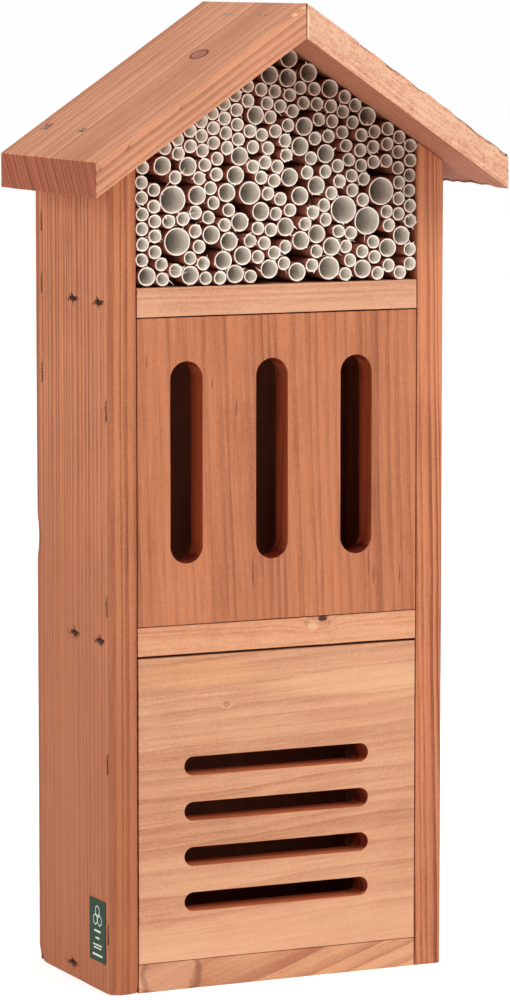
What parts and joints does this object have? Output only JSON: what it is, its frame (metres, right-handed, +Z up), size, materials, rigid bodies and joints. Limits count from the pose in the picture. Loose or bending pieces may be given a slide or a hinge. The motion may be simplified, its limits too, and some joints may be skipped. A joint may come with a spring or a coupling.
{
  "type": "insect hotel",
  "caption": "Gabled wooden insect hotel: paper nesting tubes under a pitched roof, and two slotted front panels below, with a keyhole hanger on the back.",
  "frame": {"origin": "middle of the outline's base: between the side boards, and midway from the roof's front edge to the box's back", "axes": "+X to the right seen from the front, +Y to the back and the wall, +Z up"},
  "size_m": [0.228, 0.1284, 0.5],
  "materials": {
    "cedar_side": "bare sawn red cedar, straight fine grain",
    "cedar_roof": "bare red cedar, planed top and rough-sawn edges",
    "cedar_panel": "bare planed red cedar",
    "cedar_shelf": "bare sawn red cedar",
    "cedar_back": "bare rough-sawn red cedar",
    "white_paper": "matt rolled white paper with torn rims",
    "staple_wire": "galvanised flat wire",
    "zinc_plate": "zinc plated",
    "green_sticker": "satin printed paper sticker"
  },
  "bodies": {
    "root": {"bottom_board": "cedar_shelf", "side_board_left": "cedar_side", "side_board_right": "cedar_side", "back_panel": "cedar_back", "middle_shelf": "cedar_shelf", "upper_shelf": "cedar_shelf", "lower_slotted_panel": "cedar_panel", "upper_slotted_panel": "cedar_panel", "roof_board_left": "cedar_roof", "roof_board_right": "cedar_roof", "large_tube_1": "white_paper", "large_tube_2": "white_paper", "large_tube_3": "white_paper", "large_tube_4": "white_paper", "large_tube_5": "white_paper", "large_tube_6": "white_paper", "large_tube_7": "white_paper", "medium_tubes_row_1": "white_paper", "medium_tubes_row_2": "white_paper", "medium_tubes_row_3": "white_paper", "medium_tubes_row_4": "white_paper", "medium_tubes_row_5": "white_paper", "medium_tubes_row_6": "white_paper", "medium_tubes_row_7": "white_paper", "small_tubes_layer_1": "white_paper", "small_tubes_layer_2": "white_paper", "small_tubes_layer_3": "white_paper", "small_tubes_layer_4": "white_paper", "shelf_staples_left": "staple_wire", "shelf_staples_right": "staple_wire", "panel_staples_left": "staple_wire", "panel_staples_right": "staple_wire", "back_staples_left": "staple_wire", "back_staples_right": "staple_wire", "eave_staples_left": "staple_wire", "eave_staples_right": "staple_wire", "back_panel_staples": "staple_wire", "ridge_staples": "staple_wire", "hanger_plate": "zinc_plate", "hanger_screw_left": "zinc_plate", "hanger_screw_right": "zinc_plate", "green_label": "green_sticker"}
  },
  "joints": []
}
